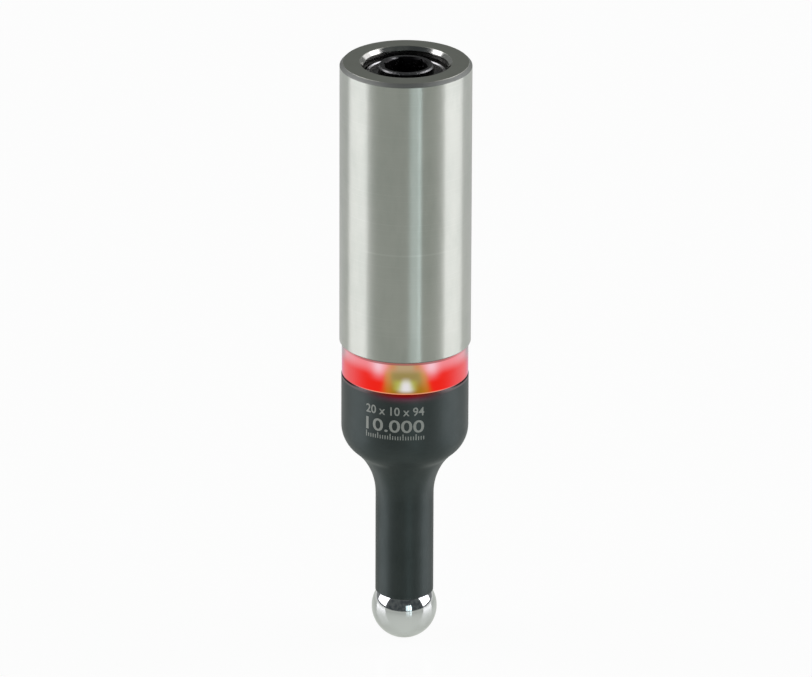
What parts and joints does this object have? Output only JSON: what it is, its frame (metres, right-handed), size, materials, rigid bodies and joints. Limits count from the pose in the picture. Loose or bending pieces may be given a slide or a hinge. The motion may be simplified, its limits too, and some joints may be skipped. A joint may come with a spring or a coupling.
{
  "type": "optical edge finder",
  "caption": "Touch probe for milling machines: a round shank, a clear ring that lights on contact and a necked housing with a spring-held ball.",
  "frame": {"origin": "lowest point of the ball, on the tool's axis", "axes": "+Z from the ball up the axis to the shank's end, -Y towards the user, at the marked side"},
  "size_m": [0.02, 0.02, 0.094],
  "materials": {
    "ground_steel": "fine circumferential grinding",
    "black_oxide": "black oxide, machined",
    "dark_steel": "satin dark burnish",
    "clear_ring": "clear polycarbonate, lit from inside",
    "polished_ball": "mirror polished",
    "stud_steel": "turned",
    "spring_steel": "drawn wire",
    "turned_brass": "turned",
    "contact_brass": "plated",
    "seal_rubber": "moulded",
    "cell_wrap": "plain shrink wrap on a steel can",
    "sleeve_plastic": "extruded tube",
    "board_green": "solder mask",
    "led_body": "moulded, lit",
    "resistor_body": "glazed chip"
  },
  "bodies": {
    "root": {"shank": "ground_steel", "battery": "cell_wrap", "battery_sleeve": "sleeve_plastic", "battery_contact": "contact_brass", "circuit_board": "board_green", "led_1": "led_body", "led_2": "led_body", "led_3": "led_body", "led_4": "led_body", "led_5": "led_body", "led_6": "led_body", "led_7": "led_body", "led_8": "led_body", "resistor_1": "resistor_body", "resistor_2": "resistor_body", "light_ring": "clear_ring", "upper_seal": "seal_rubber", "lower_seal": "seal_rubber", "contact_leaf": "contact_brass", "spring_anchor": "turned_brass", "lower_housing": "dark_steel"},
    "spring_carrier": {"plug_spring": "spring_steel"},
    "plug": {"battery_plug": "black_oxide", "plug_oring": "seal_rubber"},
    "spring_swivel": {"ball_spring": "spring_steel"},
    "ball_tip": {"ball": "polished_ball", "ball_stud": "stud_steel", "spring_plug": "turned_brass"}
  },
  "joints": [
    {"name": "plug_lift", "type": "slide", "parent": "root", "child": "spring_carrier", "axis": [0, 0, 1], "range_m": [0, 0.005], "deforming": ["plug_spring"]},
    {"name": "plug_turn", "type": "hinge", "parent": "spring_carrier", "child": "plug", "pos_m": [0, 0, 0.09399], "axis": [0, 0, 1], "range_deg": [0, 1800]},
    {"name": "ball_turn", "type": "hinge", "parent": "root", "child": "spring_swivel", "pos_m": [0, 0, 0.005], "axis": [0, 0, 1], "range_deg": [-180, 180]},
    {"name": "ball_deflect", "type": "slide", "parent": "spring_swivel", "child": "ball_tip", "axis": [0.6428, 0, -0.766], "range_m": [0, 0.002], "stiffness_N_per_m": 500, "springref_m": -0.005, "deforming": ["ball_spring"]}
  ],
  "couplings": [
    {"joint": "plug_turn", "follows": "plug_lift", "rad_per_m": 6283.2}
  ]
}
